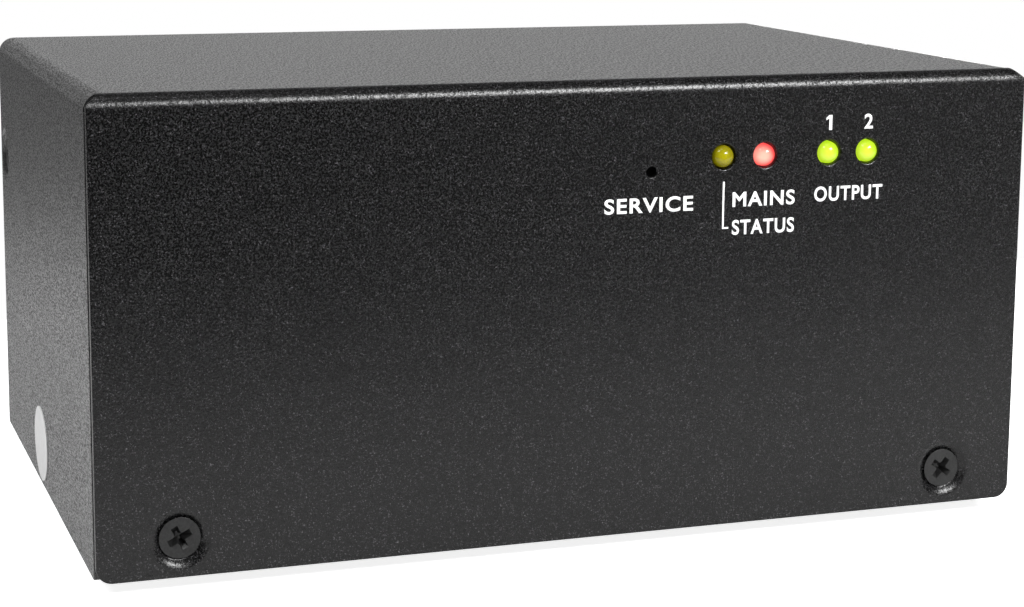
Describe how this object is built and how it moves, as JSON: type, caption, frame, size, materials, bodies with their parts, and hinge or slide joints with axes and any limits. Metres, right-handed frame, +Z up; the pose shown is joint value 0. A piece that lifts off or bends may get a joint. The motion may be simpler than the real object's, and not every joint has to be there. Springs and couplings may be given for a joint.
{
  "type": "switched power distribution unit",
  "caption": "Compact black sheet-metal power distribution unit with indicator lamps and a recessed button in front, and a fused mains inlet, switched outlets and a network jack behind.",
  "frame": {"origin": "on the table under the middle of the overall box, feet, lamps and connectors included", "axes": "+X to the right along the front, +Y from the front to the rear panel, +Z up"},
  "size_m": [0.1271, 0.0878, 0.062],
  "materials": {
    "black_coat": "fine textured black powder coat",
    "black_steel": "black oxide, satin",
    "bright_steel": "zinc plated",
    "foot_rubber": "matte",
    "label_paper": "blank matt paper",
    "board_laminate": "green solder mask",
    "black_plastic": "moulded, fine matt",
    "relay_plastic": "moulded blue",
    "suppressor_plastic": "moulded yellow",
    "capacitor_sleeve": "shrunk plastic sleeve",
    "ribbon_plastic": "grey flat cable",
    "plunger_plastic": "moulded white",
    "contact_brass": "stamped, plain",
    "plated_brass": "nickel plated",
    "fuse_body": "glass tube with metal caps",
    "yellow_lens": "moulded lens, unlit",
    "red_lens": "moulded lens, lit",
    "green_lens": "moulded lens, lit"
  },
  "bodies": {
    "case": {"cover": "black_coat", "chassis": "black_coat", "cover_screws": "black_steel", "lower_spacers": "bright_steel", "pillars": "bright_steel", "board_nuts": "bright_steel", "earth_stud": "bright_steel", "earth_nut": "bright_steel", "network_jack": "bright_steel", "rubber_feet": "foot_rubber", "side_label": "label_paper", "power_board": "board_laminate", "control_board": "board_laminate", "mains_inlet": "black_plastic", "outlet_1": "black_plastic", "outlet_2": "black_plastic", "outlet_1_core": "black_plastic", "outlet_2_core": "black_plastic", "lamp_holders": "black_plastic", "button_switch": "black_plastic", "control_chip": "black_plastic", "supply_module": "black_plastic", "lower_link_socket": "black_plastic", "upper_link_socket": "black_plastic", "relay_1": "relay_plastic", "relay_2": "relay_plastic", "suppressor": "suppressor_plastic", "smoothing_capacitor": "capacitor_sleeve", "link_ribbon": "ribbon_plastic", "fuse_contacts": "contact_brass", "fuse_link": "contact_brass", "outlet_1_contacts": "contact_brass", "outlet_2_contacts": "contact_brass", "jack_contacts": "contact_brass", "earth_comb": "contact_brass", "line_strips": "contact_brass", "neutral_strips": "contact_brass", "inlet_pins": "plated_brass", "status_led": "yellow_lens", "mains_led": "red_lens", "output_led_1": "green_lens", "output_led_2": "green_lens"},
    "plunger": {"button_plunger": "plunger_plastic"},
    "drawer": {"fuse_drawer": "black_plastic", "fuse": "fuse_body"}
  },
  "joints": [
    {"name": "button_press", "type": "slide", "parent": "case", "child": "plunger", "axis": [0, 1, 0], "range_m": [0, 0.00025], "stiffness_N_per_m": 800},
    {"name": "fuse_drawer_slide", "type": "slide", "parent": "case", "child": "drawer", "axis": [0, 1, 0], "range_m": [0, 0.016]}
  ]
}
